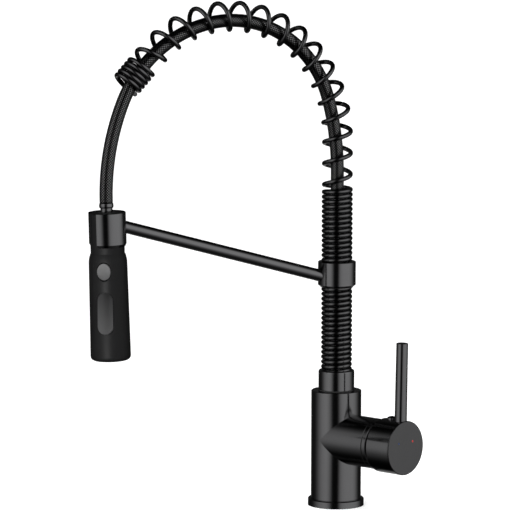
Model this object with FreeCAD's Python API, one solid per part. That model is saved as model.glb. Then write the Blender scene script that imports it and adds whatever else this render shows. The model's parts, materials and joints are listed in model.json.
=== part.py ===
"""Spring-neck pull down kitchen faucet, built piece by piece. Millimetres, +Z up.

Origin: centre of the base underside, on the riser axis. The spout arches towards -X, in the plane
y = 0. The mixer branch and its lever point along HANDLE_AZIMUTH.
"""
import FreeCAD, Part
import math
import os

from FreeCAD import Matrix, Placement, Rotation, Vector

# ---------------------------------------------------------------- driving dimensions
X, Y, Z = Vector(1, 0, 0), Vector(0, 1, 0), Vector(0, 0, 1)
ORIGIN = Vector(0, 0, 0)

FLANGE_R, FLANGE_H = 25.75, 6.6
BODY_R, BODY_TOP = 23.0, 106.3
BRANCH_Z, BRANCH_END = 62.2, 49.6
HANDLE_AZIMUTH = -64.5
HUB_R, HUB_REAR, HUB_FACE = 24.65, 57.2, 83.4
LEVER_R_ROOT, LEVER_R_TIP, LEVER_TOP, LEVER_LEAN = 5.6, 5.35, 95.2, 1.0
COLLAR_R, COLLAR_BASE, COLLAR_TOP = 16.45, 107.2, 125.3

WIRE_R, COIL_R = 2.1, 12.1           # spring wire radius, and radius of the coil's centreline
CLOSE_PITCH, OPEN_TURNS, END_TURNS = 4.45, 16.7, 4.75
RAMP_TURNS = 0.5                     # stretch over which the pitch grows from close to open
RISER_TURNS = 38
COIL_START = COLLAR_TOP - 3.5        # centre of the first coil, sunk in the collar
COIL_PHASE = 15.9                    # azimuth of the wire where the spring starts

SPRING_RISE, SPRING_LAST = 46.6, 36.0
SPRING_ARCS = ((118.0, 42.2), (100.8, 95.2))                 # radius, turn in degrees
HOSE_RISE, HOSE_LAST = 14.6, 1.5
HOSE_ARCS = ((249.8, 16.1), (98.7, 87.7), (114.6, 54.1), (214.3, 23.7))
HOSE_R, HOSE_CORE_R, HOSE_BORE_R = 5.95, 4.7, 3.4
HOSE_START = 124.0
ARCH_BASE = COIL_START + RISER_TURNS * CLOSE_PITCH           # where the open coil begins
DOCK_LEAN = sum(turn for radius, turn in HOSE_ARCS) - 180.0  # head's nozzle leans to the riser

RING_R, RING_Z0, RING_Z1 = 17.3, 201.4, 224.9
ARM_R, ARM_RISE, ARM_Z = 5.5, 15.6, 207.7                    # radius, slope, height at the riser axis
CUP_R, CUP_BORE_R, CUP_TOP, CUP_BASE = 17.1, 15.7, -8.1, -38.6
CUP_SLOT = 20.6
NECK_R, NECK_TOP, NECK_BASE = 15.2, -8.6, -44.3
HEAD_R_TOP, HEAD_R_BASE, HEAD_SHOULDER, HEAD_BASE = 17.15, 18.1, -52.3, -140.7
HEAD_EDGE, HEAD_WALL = 4.0, 1.8
BUTTON_AZIMUTH = -123.0
ROUND_Z, ROUND_W, ROUND_H, ROUND_TRAVEL = -59.5, 12.0, 14.7, 1.5
ROCKER_Z, ROCKER_W, ROCKER_H, ROCKER_REST = -96.8, 13.9, 37.2, 3.0
PIVOT_RADIAL = 13.0                  # rocker pin, from the head's axis

RUN = 0.05                           # radial running clearance of the turning fits
GAP = 0.3                            # gap between pieces that move past each other


# ---------------------------------------------------------------- helpers
def cylinder(r, z0, z1):
    return Part.makeCylinder(r, z1 - z0, Vector(0, 0, z0), Z)


def tube(r_out, r_in, z0, z1):
    return cylinder(r_out, z0, z1).cut(cylinder(r_in, z0 - 1, z1 + 1))


def box(x0, x1, y0, y1, z0, z1):
    return Part.makeBox(x1 - x0, y1 - y0, z1 - z0, Vector(x0, y0, z0))


def fused(shapes):
    whole = shapes[0]
    for shape in shapes[1:]:
        whole = whole.fuse(shape)
    return whole.removeSplitter()


def turned(*steps):
    """Solid of revolution about Z. A step is (r, z), or (r, z, r_mid, z_mid) for an arc through mid."""
    points = [Vector(step[0], 0, step[1]) for step in steps]
    edges = []
    for i, step in enumerate(steps):
        start, end = points[i - 1], points[i]
        if (end - start).Length < 1e-6:
            continue
        if len(step) == 4:
            edges.append(Part.Arc(start, Vector(step[2], 0, step[3]), end).toShape())
        else:
            edges.append(Part.LineSegment(start, end).toShape())
    face = Part.Face(Part.Wire(Part.__sortEdges__(edges)))
    return face.revolve(ORIGIN, Z, 360)


def hexagon(across, z0, z1):
    corners = [Vector(across / math.sqrt(3) * math.cos(k * math.pi / 3),
                      across / math.sqrt(3) * math.sin(k * math.pi / 3), z0) for k in range(7)]
    return Part.Face(Part.makePolygon(corners)).extrude(Vector(0, 0, z1 - z0))


def frame_of(x_axis, y_axis, z_axis, origin):
    matrix = Matrix(x_axis.x, y_axis.x, z_axis.x, origin.x,
                    x_axis.y, y_axis.y, z_axis.y, origin.y,
                    x_axis.z, y_axis.z, z_axis.z, origin.z, 0, 0, 0, 1)
    return Placement(matrix)


def placed(shape, placement):
    moved = shape.copy()
    moved.Placement = placement.multiply(moved.Placement)
    return moved


def wire_through(points, wire_r):
    """Round wire on a smooth curve through the points."""
    curve = Part.BSplineCurve()
    curve.interpolate(points)
    start = curve.tangent(curve.FirstParameter)[0]
    profile = Part.Wire(Part.makeCircle(wire_r, points[0], start))
    return Part.Wire(curve.toShape()).makePipeShell([profile], True, False)


class Route:
    """A line up from (0, z), arcs of (radius, degrees) bending towards -X, and a last line."""

    def __init__(self, z, rise, arcs, last):
        self.spans = []
        point, angle = Vector(0, 0, z), 90.0
        self._line(point, angle, rise)
        point = point + self.heading(angle) * rise
        for radius, turn in arcs:
            centre = self.on_arc(point, -radius, angle)
            self.spans.append(("arc", radius * math.radians(turn), centre, radius, angle))
            angle -= turn
            point = self.on_arc(centre, radius, angle)
        self._line(point, angle, last)
        self.end, self.end_angle = point + self.heading(angle) * last, angle
        self.length = sum(span[1] for span in self.spans)

    def _line(self, point, angle, length):
        self.spans.append(("line", length, point, 0, angle))

    @staticmethod
    def heading(angle):
        return Vector(-math.cos(math.radians(angle)), 0, math.sin(math.radians(angle)))

    @staticmethod
    def on_arc(centre, radius, angle):
        return centre + Vector(math.sin(math.radians(angle)), 0, math.cos(math.radians(angle))) * radius

    def at(self, s):
        """Point and heading at the length s along the route."""
        for kind, length, point, radius, angle in self.spans:
            if s <= length + 1e-9 or (kind, length) == self.spans[-1][:2]:
                break
            s -= length
        if kind == "line":
            return point + self.heading(angle) * s, self.heading(angle)
        now = angle - math.degrees(s / radius)
        return self.on_arc(point, radius, now), self.heading(now)

    def wire(self):
        edges = []
        for kind, length, point, radius, angle in self.spans:
            if kind == "line":
                edges.append(Part.LineSegment(point, point + self.heading(angle) * length).toShape())
            else:
                turn = math.degrees(length / radius)
                ends = [self.on_arc(point, radius, angle - turn * k / 2) for k in range(3)]
                edges.append(Part.Arc(*ends).toShape())
        return Part.Wire(edges)


def swept_disc(route, radius):
    start, heading = route.at(0)
    profile = Part.Wire(Part.makeCircle(radius, start, heading))
    return route.wire().makePipeShell([profile], True, False)


# ---------------------------------------------------------------- local frames
out = Vector(math.cos(math.radians(HANDLE_AZIMUTH)), math.sin(math.radians(HANDLE_AZIMUTH)), 0)
BRANCH = frame_of(Z.cross(out), Z, out, Vector(0, 0, BRANCH_Z))   # local z runs out along the branch

spring_route = Route(ARCH_BASE, SPRING_RISE, SPRING_ARCS, SPRING_LAST)
hose_route = Route(HOSE_START, ARCH_BASE - HOSE_START + HOSE_RISE, HOSE_ARCS, HOSE_LAST)
lean = math.radians(DOCK_LEAN)
dock_up = Vector(-math.sin(lean), 0, math.cos(lean))
DOCK = frame_of(Vector(math.cos(lean), 0, math.sin(lean)), Y, dock_up, hose_route.end)
PANEL = Placement(ORIGIN, Rotation(Z, BUTTON_AZIMUTH))            # local +X faces the buttons' side

PIVOT = BRANCH_END - 1.6             # lever pivot, along the branch
nodes = {}


# ---------------------------------------------------------------- base, body and swivel seat
POCKET_R, POCKET_BACK, NUT_R = 17.6, 22.0, 19.0
PORTS = ((-8.0, -6.0), (8.0, -6.0), (0.0, 8.0))          # hot, cold and mixed water, in the branch
RECESS_R, RECESS_TOP = 20.0, 30.0
SWIVEL_BORE_R, SWIVEL_FLOOR, BUSH_BORE_R = 14.0, 79.0, 12.5
PORT_R, INLET_THREAD_R, STUD_THREAD_R, STUD_OUT = 3.4, 4.45, 3.4, -12.0


def make_base():
    flange = turned((17.6, 0), (FLANGE_R, 0), (FLANGE_R, FLANGE_H - 0.8), (FLANGE_R - 0.8, FLANGE_H),
                    (RECESS_R - RUN, FLANGE_H), (RECESS_R - RUN, FLANGE_H + 3), (17.6, FLANGE_H + 3))
    gasket = tube(24.4, 20.4, 0, 1.6)
    nodes["base_flange"] = flange.cut(tube(24.4, 20.4, -1, 1.6))
    nodes["base_gasket"] = gasket


def make_body():
    upright = cylinder(BODY_R, FLANGE_H, BODY_TOP)
    rim = [edge for edge in upright.Edges if abs(edge.BoundBox.ZMin - BODY_TOP) < 1e-6 and edge.Closed]
    upright = upright.makeFillet(0.8, rim)
    branch = placed(turned((0, 0), (BODY_R, 0), (BODY_R, BRANCH_END - 0.4), (BODY_R - 0.4, BRANCH_END),
                           (0, BRANCH_END)), BRANCH)
    body = upright.fuse(branch).removeSplitter()
    cavities = [cylinder(RECESS_R, FLANGE_H - 1, RECESS_TOP),
                cylinder(SWIVEL_BORE_R, SWIVEL_FLOOR, BODY_TOP + 1),
                cylinder(5.0, BRANCH_Z + PORTS[2][1], SWIVEL_FLOOR + 1),
                placed(cylinder(POCKET_R, POCKET_BACK, BRANCH_END + 1), BRANCH),
                placed(cylinder(NUT_R, BRANCH_END - 8.6, BRANCH_END + 1), BRANCH),
                Part.makeCylinder(STUD_THREAD_R, 16, out * STUD_OUT + Z * RECESS_TOP, Z)]
    for (x, y), start in zip(PORTS, (4, 4, 0)):
        port = Part.makeCylinder(PORT_R, POCKET_BACK + 1 - start, Vector(x, y, start), Z)
        cavities.append(placed(port, BRANCH))
    for x, y in PORTS[:2]:
        inlet = Z.cross(out) * x + out * 4 + Z * RECESS_TOP
        cavities.append(Part.makeCylinder(INLET_THREAD_R, 14, inlet, Z))
        cavities.append(Part.makeCylinder(PORT_R, BRANCH_Z + y - RECESS_TOP, inlet, Z))
    for cavity in cavities:
        body = body.cut(cavity)
    nodes["faucet_body"] = body


def make_swivel_seat():
    nodes["swivel_bush"] = tube(SWIVEL_BORE_R, BUSH_BORE_R, 84, BODY_TOP - 0.5)
    nodes["swivel_washer"] = tube(15.6, BUSH_BORE_R + 0.1, BODY_TOP, BODY_TOP + 0.7)


# ---------------------------------------------------------------- mixer cartridge and lever
def in_branch(shape):
    return placed(shape, BRANCH)


def make_cartridge():
    end = BRANCH_END
    shoulder, top, floor = end - 8.6, end + 2.9, end - 25.6
    housing = turned((0, floor), (17.5, floor), (17.5, shoulder), (14.8, shoulder), (14.8, top), (0, top))
    housing = housing.cut(cylinder(13.3, floor + 2, end - 2.6)).cut(cylinder(11.0, end - 3, top + 1))
    seals, ports = [], []
    for x, y in PORTS:
        at = Placement(Vector(x, y, 0), Rotation())
        ports.append(placed(cylinder(3.5, POCKET_BACK - 1, floor + 7), at))
        seals.append(placed(tube(4.8, 3.6, POCKET_BACK, floor), at))
    disc = cylinder(13.2, floor + 2, floor + 6)
    for port in ports:
        housing = housing.cut(port)
        disc = disc.cut(port)
    nodes["cartridge_housing"] = in_branch(housing)
    nodes["cartridge_seals"] = in_branch(Part.makeCompound(seals))
    nodes["fixed_ceramic_disc"] = in_branch(disc)

    nut = tube(NUT_R - RUN, 14.9, shoulder, end - 0.3)
    for angle in (45, 135, 225, 315):
        slot = box(12, 20, -1.5, 1.5, end - 3, end)
        nut = nut.cut(placed(slot, Placement(ORIGIN, Rotation(Z, angle))))
    nodes["cartridge_nut"] = in_branch(nut)

    nodes["trim_ring"] = in_branch(turned(
        (15.0, end), (BODY_R - 0.75, end), (BODY_R - 0.25, end + 0.5), (BODY_R - 0.25, end + 3.9),
        (BODY_R - 0.75, end + 4.4),
        (12.4, end + 4.4), (12.4, end + 3.3), (15.0, end + 3.3)))
    dome_base, dome_top = end + 4.4, PIVOT + 11
    ball = Part.makeSphere(14.5, Vector(0, 0, PIVOT)).cut(Part.makeSphere(13.2, Vector(0, 0, PIVOT)))
    dome = ball.common(cylinder(20, dome_base, dome_top)).cut(cylinder(8.5, dome_base, dome_top + 1))
    nodes["bonnet_dome"] = in_branch(dome)


def make_rotor():
    low, neck, high = PIVOT - 11, PIVOT - 1.3, PIVOT + 6.3
    rotor = fused([cylinder(12.9, low, neck), cylinder(11.0 - RUN, neck, high)])
    rotor = rotor.cut(cylinder(9.0, low - 1, PIVOT - 3.5))
    rotor = rotor.cut(box(-3.6, 3.6, -8.5, 8.5, PIVOT - 4, high + 1))
    pin = Part.makeCylinder(1.5, 19, Vector(-9.5, 0, PIVOT), X)
    nodes["cartridge_rotor"] = in_branch(rotor.cut(pin))
    nodes["stem_pin"] = in_branch(pin)


def make_moving_disc():
    floor = BRANCH_END - 25.6 + 6.2
    disc = cylinder(10.5, floor, floor + 3.5)
    port = box(-7.0, 7.0, -4.5, 4.5, floor - 1, floor + 1.5)
    nodes["moving_ceramic_disc"] = in_branch(disc.cut(port))
    carrier = cylinder(9.5, floor + 3.5, PIVOT - 11.6)
    boss = cylinder(5.5, floor + 3.5, PIVOT - 6)
    nodes["disc_carrier"] = in_branch(fused([carrier, boss]).cut(cylinder(3.0, PIVOT - 10, PIVOT)))


def make_handle():
    ball = Part.makeSphere(2.8, Vector(0, 0, PIVOT - 7))
    shank = box(-3.4, 3.4, -2.2, 2.2, PIVOT - 7, PIVOT)
    waist = fused([cylinder(2.8, PIVOT - 7, PIVOT - 4.4), cylinder(8, PIVOT - 4.4, PIVOT)])
    bar = box(-3.4, 3.4, -3.2, 3.2, PIVOT - 2.4, HUB_FACE - 5.4)
    eye = Part.makeCylinder(1.5 + RUN, 30, Vector(-15, 0, PIVOT), X)
    nodes["cartridge_stem"] = in_branch(fused([ball, shank.common(waist), bar]).cut(eye))

    inner, cavity_end = HUB_R - 1.35, HUB_FACE - 14.2
    boss_start = PIVOT + 15.2
    hub = turned((0, boss_start), (10, boss_start), (10, cavity_end), (inner, cavity_end),
                 (inner, HUB_REAR), (HUB_R - 0.3, HUB_REAR), (HUB_R, HUB_REAR + 0.3),
                 (HUB_R, HUB_FACE - 1.6), (0, HUB_FACE - 1.6))
    hub = hub.cut(box(-3.45, 3.45, -3.25, 3.25, boss_start - 1, HUB_FACE - 5))
    screw_at = HUB_FACE - 16.8
    along_screw = Placement(Vector(0, 0, screw_at), Rotation(X, -90))      # local +Z points up
    hub = hub.cut(placed(cylinder(2.5, 3.3, HUB_R + 2), along_screw))
    hub = hub.cut(placed(cylinder(4.05, HUB_R - 1.0, HUB_R + 2), along_screw))
    lever_seat = HUB_R - 10.0
    tilt = math.radians(LEVER_LEAN)
    up = Vector(0, math.cos(tilt), math.sin(tilt))
    lever_at = frame_of(X, up.cross(X), up, Vector(0, 0, HUB_FACE - 6.6))
    lever = turned(
        (0, lever_seat), (LEVER_R_ROOT, lever_seat), (LEVER_R_ROOT, HUB_R + 2),
        (LEVER_R_TIP, LEVER_TOP - 0.8),
        (LEVER_R_TIP - 0.8, LEVER_TOP, LEVER_R_TIP - 0.2, LEVER_TOP - 0.2), (0, LEVER_TOP))
    socket = placed(cylinder(LEVER_R_ROOT, lever_seat, HUB_R + 5), lever_at)
    nodes["handle_hub"] = in_branch(hub.cut(socket))
    nodes["handle_lever"] = in_branch(placed(lever, lever_at))
    nodes["hub_screw"] = in_branch(placed(
        cylinder(2.45, 3.4, 12.0).cut(hexagon(2.5, 9.5, 12.5)), along_screw))
    cap = turned((0, HUB_R - 1.0), (3.95, HUB_R - 1.0), (3.95, HUB_R + 1.6),
                 (1.0, HUB_R + 2.8, 2.57, HUB_R + 2.43), (0, HUB_R + 2.8))
    nodes["hub_screw_cap"] = in_branch(placed(cap, along_screw))

    face = turned((0, HUB_FACE - 1.6), (HUB_R, HUB_FACE - 1.6), (HUB_R, HUB_FACE - 0.5),
                  (HUB_R - 0.5, HUB_FACE), (0, HUB_FACE)).cut(socket)
    dots = []
    for x in (-9.6, 9.6):
        dots.append(Part.makeCylinder(1.0, 0.8, Vector(x, 5.2, HUB_FACE - 0.8), Z))
        face = face.cut(dots[-1])
    nodes["hub_face_plate"] = in_branch(face)
    nodes["hot_mark"] = in_branch(dots[1])
    nodes["cold_mark"] = in_branch(dots[0])


# ---------------------------------------------------------------- riser: spigot, collar, tube, spring
TUBE_R, TUBE_BORE, TUBE_TOP = 9.7, 7.4, ARCH_BASE - 2.5


def make_riser():
    spigot_r = BUSH_BORE_R - RUN
    spigot = turned((5, 80.2), (11, 80.2), (spigot_r, 80.2), (spigot_r, 82.2), (11, 82.2), (11, 83.7),
                    (spigot_r, 83.7), (spigot_r, 119), (TUBE_R, 119), (TUBE_R, 112), (5, 112))
    grooves, rings = [], []
    for z in (88.5, 92.5):
        grooves.append(tube(20, 11.2, z - 1.1, z + 1.1))
        rings.append(Part.makeTorus(11.82, 0.57, Vector(0, 0, z), Z))
    for groove in grooves:
        spigot = spigot.cut(groove)
    nodes["spout_spigot"] = spigot
    nodes["spigot_seals"] = Part.makeCompound(rings)
    nodes["swivel_clip"] = tube(13.6, 11.0, 82.3, 83.6).cut(box(0, 20, -4, 4, 80, 90))

    collar = turned((spigot_r, COLLAR_BASE), (COLLAR_R, COLLAR_BASE), (COLLAR_R, COLLAR_TOP - 2),
                    (COLLAR_R - 2, COLLAR_TOP, COLLAR_R - 0.586, COLLAR_TOP - 0.586),
                    (14.35, COLLAR_TOP), (14.35, 119), (spigot_r, 119))
    nodes["neck_collar"] = collar
    nodes["riser_tube"] = tube(TUBE_R, TUBE_BORE, 112, TUBE_TOP)
    tail = fused([cylinder(4.9, 100, 112), hexagon(11.6, 113, HOSE_START), cylinder(5.6, 112, 114)])
    nodes["hose_tail_fitting"] = tail.cut(cylinder(3.0, 99, 130))


def station(turn):
    """Length along the arch at a turn count: the pitch grows, stays even, and closes up at the end."""
    opened = spring_route.length - END_TURNS * CLOSE_PITCH
    pitch = (opened - RAMP_TURNS * CLOSE_PITCH) / (OPEN_TURNS - RAMP_TURNS)
    if turn < RAMP_TURNS:
        return CLOSE_PITCH * turn + (pitch - CLOSE_PITCH) * turn ** 2 / (2 * RAMP_TURNS)
    if turn < OPEN_TURNS - RAMP_TURNS:
        return (CLOSE_PITCH + pitch) * RAMP_TURNS / 2 + pitch * (turn - RAMP_TURNS)
    left = max(OPEN_TURNS - turn, 0)
    if left:
        return opened - CLOSE_PITCH * left - (pitch - CLOSE_PITCH) * left ** 2 / (2 * RAMP_TURNS)
    return opened + CLOSE_PITCH * (turn - OPEN_TURNS)


def coil(first, last, steps=16):
    """Wire of the arch spring from one turn count to another: a spline on the coil, swept."""
    points = []
    for k in range(steps + 1):
        turn = first + (last - first) * k / steps
        centre, heading = spring_route.at(station(turn))
        angle = math.radians(COIL_PHASE + 360 * turn)
        points.append(centre + (Y.cross(heading) * math.cos(angle) + Y * math.sin(angle)) * COIL_R)
    return wire_through(points, WIRE_R)


def make_springs():
    slope = math.atan2(CLOSE_PITCH, 2 * math.pi * COIL_R)
    heading = Vector(0, math.cos(slope), math.sin(slope))
    profile = Part.Wire(Part.makeCircle(WIRE_R, Vector(COIL_R, 0, 0), heading))
    helix = Part.makeHelix(CLOSE_PITCH, RISER_TURNS * CLOSE_PITCH, COIL_R)
    wire = Part.Wire(helix.Edges).makePipeShell([profile], True, True)
    nodes["riser_spring"] = placed(wire, Placement(Vector(0, 0, COIL_START), Rotation(Z, COIL_PHASE)))

    turns = OPEN_TURNS + END_TURNS
    spans = math.ceil(turns)
    nodes["arch_spring"] = Part.makeCompound(
        [coil(turns * k / spans, turns * (k + 1) / spans) for k in range(spans)])


def make_hose():
    core, bore = swept_disc(hose_route, HOSE_CORE_R), swept_disc(hose_route, HOSE_BORE_R)
    nodes["hose_braid"] = swept_disc(hose_route, HOSE_R).cut(core)
    nodes["hose_liner"] = core.cut(bore)


# ---------------------------------------------------------------- bracket arm and docking clip
def in_dock(shape):
    return placed(shape, DOCK)


def make_bracket():
    slope = math.radians(ARM_RISE)
    along = Vector(-math.cos(slope), 0, math.sin(slope))
    rod = Part.makeCylinder(ARM_R, 260, Vector(0, 0, ARM_Z), along)
    rod = rod.cut(cylinder(15.3, RING_Z0 - 20, RING_Z1 + 20))
    beyond = [cylinder(CUP_R - 1.0, CUP_BASE - 30, 30), box(-200, 0, -50, 50, CUP_BASE - 60, 60)]
    rod = max(rod.cut(in_dock(fused(beyond))).Solids, key=lambda solid: solid.Volume)
    ring = turned((15.0, RING_Z0), (RING_R - 2.6, RING_Z0), (RING_R, RING_Z0 + 2.2),
                  (RING_R, RING_Z1 - 0.5), (RING_R - 0.5, RING_Z1), (15.0, RING_Z1))
    bush = turned((14.25, RING_Z0), (15.0, RING_Z0), (15.0, RING_Z1 - 0.4), (14.25, RING_Z1 - 0.4))
    grub_hole = Part.makeCylinder(2.0, 3, Vector(15, 0, RING_Z0 + 12), X)
    grub = Part.makeCylinder(1.95, 1.9, Vector(15.05, 0, RING_Z0 + 12), X)
    socket = placed(hexagon(2.0, 0, 2), Placement(Vector(16.0, 0, RING_Z0 + 12), Rotation(Y, 90)))
    nodes["bracket_ring"] = placed(ring, Placement(ORIGIN, Rotation(Z, 90))).cut(rod).cut(grub_hole)
    nodes["bracket_bush"] = bush
    nodes["bracket_grub_screw"] = grub.cut(socket)
    nodes["arm_rod"] = rod

    cup = turned((CUP_BORE_R, CUP_BASE), (CUP_R - 1.1, CUP_BASE), (CUP_R, CUP_BASE + 2.4),
                 (CUP_R, CUP_TOP - 0.4), (CUP_R - 0.4, CUP_TOP), (CUP_BORE_R + 0.4, CUP_TOP),
                 (CUP_BORE_R, CUP_TOP - 0.4))
    cup = cup.cut(box(-30, 0, -CUP_SLOT / 2, CUP_SLOT / 2, CUP_BASE - 5, CUP_TOP + 5))
    nodes["dock_clip"] = in_dock(cup).cut(rod)


# ---------------------------------------------------------------- hose end and spray head
def make_hose_end():
    ferrule = turned((3.5, -GAP), (6.1, -GAP), (6.1, -4.3, 6.45, -2.3), (3.5, -4.3))
    nodes["hose_ferrule"] = in_dock(ferrule)
    nut = fused([tube(5.4, 3.2, -7.9, -4.3), tube(4.4, 3.2, -20.5, -7.9)])
    nodes["hose_nut"] = in_dock(nut)


def ellipse_wire(half_w, half_h, depth):
    """Closed upright ellipse in the plane x = depth, in the panel frame."""
    ellipse = Part.Ellipse(Vector(depth, 0, half_h), Vector(depth, half_w, 0), Vector(depth, 0, 0))
    return Part.Wire(ellipse.toShape())


def oval_prism(half_w, half_h, x0, x1):
    return Part.Face(ellipse_wire(half_w, half_h, x0)).extrude(Vector(x1 - x0, 0, 0))


def stadium_prism(width, height, x0, x1):
    r, h = width / 2, height / 2 - width / 2
    middle = box(x0, x1, -r, r, -h, h)
    ends = [Part.makeCylinder(r, x1 - x0, Vector(x0, 0, z), X) for z in (-h, h)]
    return fused([middle] + ends)


def on_panel(shape, z=0.0):
    return placed(placed(shape, Placement(Vector(0, 0, z), Rotation())), PANEL)


def head_radius(z):
    """Outer radius of the shell's tapered part."""
    return HEAD_R_TOP + (HEAD_R_BASE - HEAD_R_TOP) * (HEAD_SHOULDER - z) / (HEAD_SHOULDER - HEAD_BASE)


def make_shell():
    edge, wall = HEAD_EDGE, HEAD_WALL
    mid_r, mid_z = (NECK_R + HEAD_R_TOP) / 2 + 0.25, (NECK_BASE + HEAD_SHOULDER) / 2 + 0.4
    outer_r = head_radius(HEAD_BASE + edge)
    corner = edge * (1 - math.sqrt(0.5))
    shell = turned(
        (7.6, NECK_TOP), (NECK_R - 2, NECK_TOP), (NECK_R, NECK_TOP - 2, NECK_R - 0.586, NECK_TOP - 0.586),
        (NECK_R, NECK_BASE), (HEAD_R_TOP, HEAD_SHOULDER, mid_r, mid_z), (outer_r, HEAD_BASE + edge),
        (outer_r - edge, HEAD_BASE, outer_r - corner, HEAD_BASE + corner),
        (outer_r - edge, HEAD_BASE + 2.4), (outer_r - wall, HEAD_BASE + edge),
        (HEAD_R_TOP - wall, HEAD_SHOULDER), (NECK_R - wall, NECK_BASE),
        (NECK_R - wall, NECK_TOP - 3), (7.6, NECK_TOP - 3))
    round_hole = oval_prism(ROUND_W / 2 + 0.25, ROUND_H / 2 + 0.25, 8, 25)
    dish = Part.makeLoft([ellipse_wire(ROUND_W / 2 + 0.3, ROUND_H / 2 + 0.3, 16.1),
                          ellipse_wire(ROUND_W / 2 + 2.6, ROUND_H / 2 + 2.6, 18.4)], True, True)
    rocker_hole = stadium_prism(ROCKER_W + 0.5, ROCKER_H + 0.5, 10, 25)
    shell = shell.cut(on_panel(round_hole, ROUND_Z)).cut(on_panel(dish, ROUND_Z))
    nodes["spray_shell"] = in_dock(shell.cut(on_panel(rocker_hole, ROCKER_Z)))


def make_head_inside():
    insert = turned((4.4 + RUN, NECK_TOP + 0.4), (7.5, NECK_TOP + 0.4), (7.5, -18), (9.6, -18), (9.6, -31),
                    (3.2, -31), (3.2, -21), (4.4 + RUN, -21))
    nodes["neck_insert"] = in_dock(insert)
    valve = fused([cylinder(2.6, -30, -26), cylinder(1.2, -26, -23)]).cut(cylinder(0.8, -31, -27))
    nodes["check_valve"] = in_dock(valve)
    core = turned((3.6, -120), (12.8, -120), (12.8, -116), (10.3, -116), (10.3, -31.2), (3.6, -31.2))
    core = core.cut(on_panel(Part.makeCylinder(1.7, 12, Vector(2, 0, 0), X), ROUND_Z))
    core = core.cut(on_panel(Part.makeCylinder(4.4, 4, Vector(8.0, 0, 0), X), ROUND_Z))
    core = core.cut(on_panel(box(0, 12, -3, 3, -6, 6), ROCKER_Z))
    lugs = [box(8.0, PIVOT_RADIAL + 1.6, y, y + 1.4, -2.2, 2.2) for y in (-5.2, 3.8)]
    pin = Part.makeCylinder(0.9, 10.4, Vector(PIVOT_RADIAL, -5.2, 0), Y)
    for lug in lugs:
        core = core.fuse(on_panel(lug.cut(pin), ROCKER_Z))
    nodes["valve_core"] = in_dock(core.removeSplitter())
    nodes["rocker_pin"] = in_dock(on_panel(pin, ROCKER_Z))
    groove = ROCKER_Z - 11 * math.sin(math.radians(ROCKER_REST))
    spool = fused([cylinder(3.55, groove - 12, groove + 9)]).cut(tube(5, 1.6, groove - 1.5, groove + 1.5))
    nodes["diverter_spool"] = in_dock(spool)


def ring_of(count, radius, first=0.0):
    for k in range(count):
        angle = math.radians(first + 360.0 * k / count)
        yield radius * math.cos(angle), radius * math.sin(angle)


def make_spray_face():
    r = head_radius(HEAD_BASE + HEAD_EDGE) - HEAD_EDGE - 0.1
    plate = turned((6.0, HEAD_BASE + 0.2), (r - 0.4, HEAD_BASE + 0.2), (r, HEAD_BASE + 0.6),
                   (r, HEAD_BASE + 3.0), (6.0, HEAD_BASE + 3.0))
    tips = []
    for x, y in list(ring_of(14, 8.2)) + list(ring_of(20, 11.4, 9)):
        cone = Part.makeCone(0.55, 0.95, 3.4, Vector(x, y, HEAD_BASE - 0.4), Z)
        plate = plate.cut(cone)
        tips.append(cone.cut(Part.makeCylinder(0.3, 5, Vector(x, y, HEAD_BASE - 1), Z)))
    nodes["spray_face"] = in_dock(plate)
    nodes["nozzle_tips"] = in_dock(Part.makeCompound(tips))
    aerator = cylinder(5.9, HEAD_BASE + 0.6, HEAD_BASE + 8)
    for x, y in [(0, 0)] + list(ring_of(6, 2.1)) + list(ring_of(12, 4.2)):
        aerator = aerator.cut(Part.makeCylinder(0.7, 2, Vector(x, y, HEAD_BASE), Z))
    nodes["aerator"] = in_dock(aerator.cut(cylinder(5.0, HEAD_BASE + 2, HEAD_BASE + 9)))
    nodes["face_seal"] = in_dock(tube(12.6, 10.6, HEAD_BASE + 3.0, HEAD_BASE + 5.0))
    nodes["water_guide"] = in_dock(turned(
        (6.2, HEAD_BASE + 8), (9.5, HEAD_BASE + 5.0), (13.6, HEAD_BASE + 5.0), (13.6, -120), (4.0, -120),
        (4.0, -122.5), (6.2, -124)))


def make_buttons():
    crown = Part.makeCylinder(40, 40, Vector(-22.6, -20, 0), Y)
    button = oval_prism(ROUND_W / 2, ROUND_H / 2, 13.2, 18.5).common(crown)
    plunger = Part.makeCylinder(1.6, 8.4, Vector(5.0, 0, 0), X)
    nodes["round_button"] = in_dock(on_panel(fused([button, plunger]), ROUND_Z))
    turns = [math.radians(22.5 * k) for k in range(41)]
    wire = wire_through([Vector(9.8 + 0.19 * a, 3 * math.cos(a), 3 * math.sin(a)) for a in turns], 0.3)
    nodes["button_spring"] = in_dock(on_panel(wire, ROUND_Z))

    skin = Part.makeCone(head_radius(ROCKER_Z - 25) + 0.2, head_radius(ROCKER_Z + 25) + 0.2, 50,
                         Vector(0, 0, -25), Z)
    cap = stadium_prism(ROCKER_W, ROCKER_H, 14.8, 25).common(skin)
    ear = box(PIVOT_RADIAL - 1.8, 15.2, -2.6, 2.6, -1.8, 1.8)
    arm = box(2.0, PIVOT_RADIAL - 1.0, -1.0, 1.0, -1.0, 1.0)
    rocker = fused([cap, ear, arm]).cut(Part.makeCylinder(0.9 + RUN, 20, Vector(PIVOT_RADIAL, -10, 0), Y))
    tip_in = Placement(ORIGIN, Rotation(Y, -ROCKER_REST), Vector(PIVOT_RADIAL, 0, 0))
    nodes["rocker_button"] = in_dock(on_panel(placed(rocker, tip_in), ROCKER_Z))


# ---------------------------------------------------------------- build and write every piece
STEPS = (make_base, make_body, make_swivel_seat, make_cartridge, make_rotor, make_moving_disc,
         make_handle, make_riser, make_springs, make_hose, make_bracket, make_hose_end,
         make_shell, make_head_inside, make_spray_face, make_buttons)

for step in STEPS:
    step()

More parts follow.
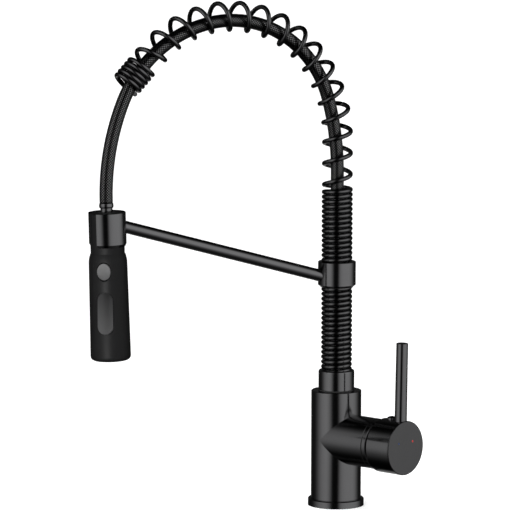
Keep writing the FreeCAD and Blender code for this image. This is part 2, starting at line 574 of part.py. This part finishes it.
os.makedirs("parts", exist_ok=True)
for name, shape in nodes.items():
    if not shape.isValid():
        print("not valid:", name)
    shape.exportStep("parts/" + name + ".step")
print(len(nodes), "pieces; hose", round(hose_route.length, 1), "arch", round(spring_route.length, 1), "mm")
print("dock at", [round(c, 2) for c in hose_route.end], "lean", round(DOCK_LEAN, 2))
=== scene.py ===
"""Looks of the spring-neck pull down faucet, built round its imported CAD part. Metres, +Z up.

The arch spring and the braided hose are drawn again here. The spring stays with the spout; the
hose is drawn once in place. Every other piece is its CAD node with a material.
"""
import json
import math

import bpy
from mathutils import Matrix, Vector


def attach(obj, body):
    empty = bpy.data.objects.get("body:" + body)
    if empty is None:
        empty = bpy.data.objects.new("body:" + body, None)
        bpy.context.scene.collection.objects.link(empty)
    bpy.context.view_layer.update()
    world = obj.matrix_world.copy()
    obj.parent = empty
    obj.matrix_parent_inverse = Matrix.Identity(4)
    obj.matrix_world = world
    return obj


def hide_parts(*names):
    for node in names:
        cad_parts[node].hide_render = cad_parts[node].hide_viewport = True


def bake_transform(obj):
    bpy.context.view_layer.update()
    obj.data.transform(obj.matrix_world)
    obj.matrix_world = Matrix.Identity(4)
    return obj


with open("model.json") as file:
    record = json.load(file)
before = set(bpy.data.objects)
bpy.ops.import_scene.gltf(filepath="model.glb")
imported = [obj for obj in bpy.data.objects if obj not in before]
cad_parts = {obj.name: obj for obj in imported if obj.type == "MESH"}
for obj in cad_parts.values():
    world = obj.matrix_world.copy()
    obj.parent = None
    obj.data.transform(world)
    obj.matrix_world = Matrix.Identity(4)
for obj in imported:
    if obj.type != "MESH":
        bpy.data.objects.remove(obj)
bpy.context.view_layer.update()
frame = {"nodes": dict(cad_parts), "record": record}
nodes = frame["nodes"]
MM = 0.001

# ---------------------------------------------------------------- the spring's and the hose's lines
WIRE_R, COIL_R, CLOSE_PITCH = 2.1, 12.1, 4.45
OPEN_TURNS, END_TURNS, RAMP_TURNS, COIL_PHASE = 16.7, 4.75, 0.5, 15.9
RISER_TURNS, COIL_START = 38, 121.8
ARCH_BASE = COIL_START + RISER_TURNS * CLOSE_PITCH
SPRING = (46.6, ((118.0, 42.2), (100.8, 95.2)), 36.0)
HOSE = (14.6, ((249.8, 16.1), (98.7, 87.7), (114.6, 54.1), (214.3, 23.7)), 1.5)
HOSE_R = 5.95


def route(base, rise, arcs, last, step):
    """Points and headings in millimetres along a line up, arcs towards -X and a last line."""
    spans = [(rise, 0.0)] + [(r * math.radians(turn), 1.0 / r) for r, turn in arcs] + [(last, 0.0)]
    point, angle, travelled = Vector((0, 0, base)), 90.0, 0.0
    rows = [(0.0, point.copy(), angle)]
    for length, bend in spans:
        count = max(1, round(length / step))
        ds = length / count
        for _ in range(count):
            middle = math.radians(angle - math.degrees(ds * bend / 2))
            point = point + Vector((-math.cos(middle), 0, math.sin(middle))) * ds
            angle -= math.degrees(ds * bend)
            travelled += ds
            rows.append((travelled, point.copy(), angle))
    return rows


def at(rows, s):
    """Point and heading at the length s along a route."""
    low, high = 0, len(rows) - 1
    while high - low > 1:
        mid = (low + high) // 2
        low, high = (mid, high) if rows[mid][0] <= s else (low, mid)
    a, b = rows[low], rows[high]
    t = (s - a[0]) / (b[0] - a[0])
    angle = math.radians(a[2] + (b[2] - a[2]) * t)
    return a[1].lerp(b[1], t), Vector((-math.cos(angle), 0, math.sin(angle)))


spring_rows = route(ARCH_BASE, *SPRING, 0.5)
spring_length = spring_rows[-1][0]


def station(turn):
    """Length along the arch at a turn count, as in the CAD spring."""
    opened = spring_length - END_TURNS * CLOSE_PITCH
    pitch = (opened - RAMP_TURNS * CLOSE_PITCH) / (OPEN_TURNS - RAMP_TURNS)
    if turn < RAMP_TURNS:
        return CLOSE_PITCH * turn + (pitch - CLOSE_PITCH) * turn ** 2 / (2 * RAMP_TURNS)
    if turn < OPEN_TURNS - RAMP_TURNS:
        return (CLOSE_PITCH + pitch) * RAMP_TURNS / 2 + pitch * (turn - RAMP_TURNS)
    left = OPEN_TURNS - turn
    if left > 0:
        return opened - CLOSE_PITCH * left - (pitch - CLOSE_PITCH) * left ** 2 / (2 * RAMP_TURNS)
    return opened - CLOSE_PITCH * left


# ---------------------------------------------------------------- mesh helpers
def tube_mesh(name, centres, radius, sides, caps=True, around=1.0, along=1.0):
    """Round tube through centres in metres, with UVs that count turns round and metres along."""
    vertices, faces, uvs = [], [], []
    normal, travelled = None, 0.0
    for i, centre in enumerate(centres):
        ahead = centres[min(i + 1, len(centres) - 1)]
        behind = centres[max(i - 1, 0)]
        heading = (ahead - behind).normalized()
        if normal is None:
            normal = heading.orthogonal().normalized()
        normal = (normal - heading * normal.dot(heading)).normalized()
        side = heading.cross(normal)
        if i:
            travelled += (centre - centres[i - 1]).length
        for k in range(sides):
            angle = 2 * math.pi * k / sides
            vertices.append(centre + (normal * math.cos(angle) + side * math.sin(angle)) * radius)
        if i:
            v1, v0 = travelled * along, (travelled - (centre - centres[i - 1]).length) * along
            base = (i - 1) * sides
            for k in range(sides):
                after = (k + 1) % sides
                faces.append((base + k, base + after, base + sides + after, base + sides + k))
                u0, u1 = k / sides * around, (k + 1) / sides * around
                uvs += [(u0, v0), (u1, v0), (u1, v1), (u0, v1)]
    if caps:
        faces.append(tuple(reversed(range(sides))))
        faces.append(tuple(range(len(vertices) - sides, len(vertices))))
        uvs += [(0, 0)] * (2 * sides)
    mesh = bpy.data.meshes.new(name)
    mesh.from_pydata(vertices, [], faces)
    layer = mesh.uv_layers.new(name="UVMap")
    for loop, uv in zip(layer.data, uvs):
        loop.uv = uv
    for polygon in mesh.polygons:
        polygon.use_smooth = len(polygon.vertices) == 4
    piece = bpy.data.objects.new(name, mesh)
    bpy.context.scene.collection.objects.link(piece)
    return piece


# ---------------------------------------------------------------- materials
class Nodes:
    """A material's node tree, built a node at a time."""

    def __init__(self, name):
        self.material = bpy.data.materials.new(name)
        self.material.use_nodes = True
        self.tree = self.material.node_tree
        self.shader = self.tree.nodes["Principled BSDF"]

    def add(self, kind, inputs=None, **settings):
        node = self.tree.nodes.new(kind)
        for key, value in settings.items():
            setattr(node, key, value)
        for key, value in (inputs or {}).items():
            self.give(node, key, value)
        return node

    def give(self, node, key, value):
        if isinstance(value, bpy.types.NodeSocket):
            self.tree.links.new(value, node.inputs[key])
        else:
            node.inputs[key].default_value = value

    def set(self, **values):
        for key, value in values.items():
            self.give(self.shader, key.replace("_", " "), value)

    def place(self):
        return self.add("ShaderNodeTexCoord").outputs["Object"]

    def noise(self, scale, detail=3.0, rough=0.5, stretch=None):
        vector = self.place()
        if stretch:
            vector = self.add("ShaderNodeMapping", {"Vector": vector, "Scale": stretch}).outputs[0]
        return self.add("ShaderNodeTexNoise", {"Vector": vector, "Scale": scale, "Detail": detail,
                                               "Roughness": rough}).outputs["Fac"]

    def spread(self, value, low, high, start=0.3, end=0.7):
        return self.add("ShaderNodeMapRange", {"Value": value, "From Min": start, "From Max": end,
                                               "To Min": low, "To Max": high}).outputs["Result"]

    def shades(self, value, dark, light):
        ramp = self.add("ShaderNodeMix", {0: value}, data_type="RGBA")
        ramp.inputs[6].default_value = (*dark, 1)
        ramp.inputs[7].default_value = (*light, 1)
        return ramp.outputs[2]

    def math(self, kind, a, b=0.5):
        return self.add("ShaderNodeMath", {0: a, 1: b}, operation=kind).outputs[0]

    def bump(self, height, strength, distance):
        node = self.add("ShaderNodeBump", {"Height": height, "Strength": strength,
                                           "Distance": distance})
        return node.outputs["Normal"]


def coated_metal(name, tone, rough, grain=0.02):
    """Polished black coating: even, with faint smudges and the slight waviness of a buffed casting."""
    m = Nodes(name)
    smudge = m.noise(38, 4, 0.6)
    fine = m.noise(900, 2, 0.5)
    m.set(Metallic=1.0, IOR=1.5,
          Base_Color=m.shades(smudge, [t * 0.9 for t in tone], [t * 1.1 for t in tone]),
          Roughness=m.spread(smudge, rough * 0.8, rough * 1.25),
          Normal=m.bump(fine, grain, 0.0004))
    return m.material


def moulded(name, dark, light, rough, grain_scale, grain, gloss=0.5):
    """Moulded plastic or rubber: spark-eroded grain and a slight change of shade."""
    m = Nodes(name)
    shade = m.noise(30, 3, 0.5)
    texture = m.noise(grain_scale, 3, 0.65)
    m.set(Base_Color=m.shades(shade, dark, light), Specular_IOR_Level=gloss,
          Roughness=m.spread(shade, rough * 0.9, rough * 1.12),
          Normal=m.bump(texture, grain, 0.0003))
    return m.material


def rocker_painted_shade(name, low, high):
    """Satin plastic with painted shade: its base colour is painted darker towards its top and lighter
    towards its bottom end.
    """
    m = Nodes(name)
    z = m.add("ShaderNodeSeparateXYZ", {0: m.place()}).outputs[2]
    # Painted shade: the base colour darkens with height, standing for the rocker's top tilting away from
    # the light.
    painted_top_shade = m.spread(z, 0.0, 1.0, low, high)
    m.set(Base_Color=m.shades(painted_top_shade, (0.06, 0.06, 0.061), (0.014, 0.014, 0.0145)),
          Roughness=m.spread(m.noise(30, 3, 0.5), 0.34, 0.42),
          Normal=m.bump(m.noise(1400, 3, 0.65), 0.06, 0.0003))
    return m.material


def machined(name, dark, light, rough, stretch):
    """Turned or drawn raw metal, with fine tool lines."""
    m = Nodes(name)
    lines = m.noise(220, 4, 0.6, stretch=stretch)
    m.set(Metallic=1.0, Base_Color=m.shades(lines, dark, light),
          Roughness=m.spread(lines, rough * 0.8, rough * 1.3),
          Normal=m.bump(lines, 0.08, 0.0003))
    return m.material


def braided(name):
    """Woven nylon sleeve: two sets of flat strands that cross, from the hose's UVs."""
    m = Nodes(name)
    uv = m.add("ShaderNodeSeparateXYZ", {0: m.add("ShaderNodeTexCoord").outputs["UV"]})
    u, v = uv.outputs[0], uv.outputs[1]
    right = m.math("SINE", m.math("MULTIPLY", m.math("ADD", u, v), math.pi * 2))
    left = m.math("SINE", m.math("MULTIPLY", m.math("SUBTRACT", u, v), math.pi * 2))
    crossing = m.math("MULTIPLY", m.math("ADD", right, 1.0), m.math("ADD", left, 1.0))
    tone = m.spread(crossing, 0.0, 1.0, 1.0, 2.8)
    m.set(Base_Color=m.shades(tone, (0.002, 0.002, 0.002), (0.3, 0.3, 0.302)),
          Roughness=m.spread(crossing, 0.42, 0.2, 0.0, 3.0), Metallic=1.0,
          Normal=m.bump(crossing, 0.1, 0.0001))
    return m.material


black_body = coated_metal("black_body", (0.15, 0.15, 0.153), 0.13)
black_spring = coated_metal("black_spring", (0.115, 0.115, 0.117), 0.08)
hub_face = coated_metal("hub_face", (0.112, 0.112, 0.114), 0.15)
matte_head = moulded("matte_head", (0.004, 0.004, 0.0041), (0.0055, 0.0055, 0.0057), 0.47, 1600, 0.12,
                     gloss=0.12)
MATERIALS = {
    "black_coated_brass": black_body,
    "black_coated_steel": black_body,
    "black_spring_steel": black_spring,
    "black_nylon_braid": braided("braid"),
    "hose_rubber": moulded("rubber", (0.012, 0.012, 0.012), (0.02, 0.02, 0.02), 0.7, 1200, 0.2),
    "raw_brass": machined("brass", (0.55, 0.39, 0.16), (0.74, 0.56, 0.28), 0.3, (1, 1, 12)),
    "stainless_steel": machined("steel", (0.42, 0.42, 0.43), (0.6, 0.6, 0.61), 0.28, (1, 1, 12)),
    "bearing_plastic": moulded("acetal", (0.012, 0.012, 0.012), (0.018, 0.018, 0.018), 0.45, 900, 0.05,
                               gloss=0.3),
    "cartridge_plastic": moulded("cartridge", (0.06, 0.06, 0.062), (0.09, 0.09, 0.092), 0.5, 900, 0.08),
    "ceramic": moulded("ceramic", (0.78, 0.76, 0.7), (0.85, 0.83, 0.78), 0.12, 500, 0.01),
    "matte_black_head": matte_head,
    "face_plastic": moulded("face", (0.018, 0.018, 0.018), (0.026, 0.026, 0.027), 0.4, 1400, 0.1),
    "dark_silicone": moulded("silicone", (0.03, 0.03, 0.031), (0.045, 0.045, 0.046), 0.6, 1200, 0.1),
    "satin_button": machined("satin", (0.5, 0.5, 0.503), (0.62, 0.62, 0.623), 0.4, (1, 1, 1)),
    "rocker_plastic": rocker_painted_shade("rocker", low=0.172, high=0.208),
    "red_mark": moulded("red_dot", (0.36, 0.012, 0.01), (0.5, 0.02, 0.015), 0.25, 500, 0.02),
    "blue_mark": moulded("blue_dot", (0.008, 0.02, 0.07), (0.012, 0.03, 0.1), 0.25, 500, 0.02),
}
for sub in frame["record"]["subparts"]:
    mesh = nodes[sub["node"]].data
    mesh.materials.clear()
    mesh.materials.append(hub_face if sub["node"] == "hub_face_plate" else MATERIALS[sub["material_slot"]])

# ---------------------------------------------------------------- arch spring and hose
dock_point = route(ARCH_BASE, *HOSE, 0.5)[-1][1]


def arch_spring():
    turns = OPEN_TURNS + END_TURNS
    count = round(turns * 48)
    centres = []
    for k in range(count + 1):
        turn = turns * k / count
        centre, heading = at(spring_rows, station(turn))
        angle = math.radians(COIL_PHASE + 360 * turn)
        across = Vector((0, 1, 0))
        inward = across.cross(heading)
        centres.append((centre + (inward * math.cos(angle) + across * math.sin(angle)) * COIL_R) * MM)
    piece = tube_mesh("arch_spring_coil", centres, WIRE_R * MM, 20)
    piece.data.materials.append(black_spring)
    return piece


def hose():
    rows = route(124.0, ARCH_BASE - 124.0 + HOSE[0], HOSE[1], HOSE[2], 2.0)
    centres = [row[1] * MM for row in rows]
    piece = tube_mesh("braided_hose", centres, HOSE_R * MM, 48, around=16.0, along=415.0)
    piece.data.materials.append(MATERIALS["black_nylon_braid"])
    return piece


spring = arch_spring()
sleeve = hose()
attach(spring, "spout")
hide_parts("arch_spring")
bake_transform(sleeve)
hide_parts("hose_braid", "hose_liner")

# ---------------------------------------------------------------- floor, light and camera
VIEW_TURN, VIEW_PITCH, VIEW_ROLL = 22.0, 7.16, 0.11


def stage_floor():
    mesh = bpy.data.meshes.new("floor")
    profile = [(-9.0, 0.0), (3.0, 0.0)]
    for k in range(1, 13):
        angle = math.radians(90 * k / 12)
        profile.append((3.0 + 2.0 * math.sin(angle), 2.0 - 2.0 * math.cos(angle)))
    profile.append((5.0, 9.0))
    vertices, faces = [], []
    for y, z in profile:
        vertices += [(-9, y, z), (9, y, z)]
    for k in range(len(profile) - 1):
        faces.append((2 * k, 2 * k + 1, 2 * k + 3, 2 * k + 2))
    mesh.from_pydata(vertices, [], faces)
    for polygon in mesh.polygons:
        polygon.use_smooth = True
    floor = bpy.data.objects.new("floor", mesh)
    bpy.context.scene.collection.objects.link(floor)
    floor.rotation_euler = (0, 0, math.radians(-VIEW_TURN))
    m = Nodes("paper")
    m.set(Base_Color=m.shades(m.noise(3, 2), (0.9, 0.9, 0.9), (0.93, 0.93, 0.93)), Roughness=0.9,
          Emission_Color=(1, 1, 1, 1), Emission_Strength=0.55)
    mesh.materials.append(m.material)
    floor.visible_glossy = False


# Light by direction round the object: degrees to the picture's right of the camera's bearing, and height.
BEARINGS = (
    (-180, 0.03), (-124, 0.03), (-109, 0.08), (-95, 0.28), (-82, 0.6), (-70, 0.84), (-50, 1.0),
    (-39, 0.87), (-30, 0.56), (-24, 0.28), (-18, 0.04), (-11, 0.018), (3, 0.018), (7, 0.08),
    (12, 0.34), (17, 0.62), (26, 0.86), (38, 0.97), (50, 1.0), (80, 1.0), (94, 0.8), (105, 0.45),
    (119, 0.1), (128, 0.03), (180, 0.03))
HEIGHTS = (
    (-90, 0.04), (-62, 0.04), (-42, 0.12), (-24, 0.42), (-9, 0.88), (0, 1.0), (30, 1.0),
    (38, 0.7), (46, 0.2), (53, 0.04), (90, 0.04))
# The pale floor behind, seen in the edges of round pieces.
BEHIND = ((-180, 0.6), (-168, 0.5), (-156, 0.0), (156, 0.0), (168, 0.5), (180, 0.6))
BELOW = ((-90, 0.1), (-45, 0.4), (-20, 0.8), (-4, 1.0), (-1, 0.0), (90, 0.0))


def studio():
    """A booth of soft panels, given by direction, so that it looks the same from every side of a piece."""
    world = bpy.data.worlds.new("studio")
    bpy.context.scene.world = world
    world.use_nodes = True
    tree = world.node_tree
    background = tree.nodes["Background"]

    def add(kind, inputs=None, **settings):
        node = tree.nodes.new(kind)
        for key, value in settings.items():
            setattr(node, key, value)
        for key, value in (inputs or {}).items():
            if isinstance(value, bpy.types.NodeSocket):
                tree.links.new(value, node.inputs[key])
            else:
                node.inputs[key].default_value = value
        return node

    def profile(degrees, stops, low, high):
        share = add("ShaderNodeMapRange", {"Value": degrees, "From Min": low, "From Max": high}).outputs[0]
        ramp = add("ShaderNodeValToRGB", {0: share})
        elements = ramp.color_ramp.elements
        elements.remove(elements[-1])
        for k, (angle, level) in enumerate(stops):
            position = (angle - low) / (high - low)
            element = elements[0] if k == 0 else elements.new(position)
            element.position = position
            element.color = (level, level, level, 1)
        return ramp.outputs[0]

    def step(kind, *values):
        return add("ShaderNodeMath", dict(enumerate(values)), operation=kind).outputs[0]

    split = add("ShaderNodeSeparateXYZ", {0: add("ShaderNodeTexCoord").outputs["Generated"]}).outputs
    camera_bearing = math.radians(-90.0 - VIEW_TURN)
    turned = step("SUBTRACT", step("ARCTAN2", split[1], split[0]), camera_bearing)
    wrapped = step("WRAP", turned, math.pi, -math.pi)
    bearing = step("MULTIPLY", wrapped, 180 / math.pi)
    height = step("MULTIPLY", step("ARCSINE", split[2]), 180 / math.pi)
    panels = step("MULTIPLY", profile(bearing, BEARINGS, -180, 180), profile(height, HEIGHTS, -90, 90))
    floor = step("MULTIPLY", profile(bearing, BEHIND, -180, 180), profile(height, BELOW, -90, 90))
    tree.links.new(step("ADD", panels, floor), background.inputs["Color"])
    background.inputs["Strength"].default_value = 1.0


def soft_light(name, place, size, power):
    lamp = bpy.data.lights.new(name, "AREA")
    lamp.shape, lamp.size, lamp.size_y, lamp.energy = "RECTANGLE", size[0], size[1], power
    thing = bpy.data.objects.new(name, lamp)
    bpy.context.scene.collection.objects.link(thing)
    thing.location = place
    thing.rotation_euler = (Vector((0, 0, 0.2)) - Vector(place)).to_track_quat("-Z", "Y").to_euler()
    thing.visible_glossy = False
    return thing


def head_light():
    """A small lamp that only the matte head takes, for the soft streak down its front."""
    lamp = soft_light("head_streak", (-1.03, -0.95, 0.14), (0.32, 0.22), 14.0)
    lamp.visible_glossy = True
    takers = bpy.data.collections.new("head_streak_takers")
    takers.objects.link(nodes["spray_shell"])
    lamp.light_linking.receiver_collection = takers


def camera():
    lens = bpy.data.cameras.new("camera")
    lens.sensor_width, lens.lens = 36.0, 258.35
    lens.clip_end = 50.0
    thing = bpy.data.objects.new("camera", lens)
    bpy.context.scene.collection.objects.link(thing)
    turn = Matrix.Rotation(math.radians(-VIEW_TURN), 4, "Z")
    place = turn @ Vector((-0.0746, -3.3053, 0.6455))
    tilt = Matrix.Rotation(math.radians(90 - VIEW_PITCH), 4, "X")
    roll = Matrix.Rotation(math.radians(VIEW_ROLL), 4, "Z")
    thing.matrix_world = Matrix.Translation(place) @ turn @ tilt @ roll
    bpy.context.scene.camera = thing


stage_floor()
studio()
soft_light("front_left", (-1.9, -1.4, 1.4), (1.2, 1.2), 24)
soft_light("overhead", (-0.2, -0.3, 2.2), (1.6, 1.6), 25)
head_light()
camera()
bpy.context.scene.view_settings.view_transform = "Standard"
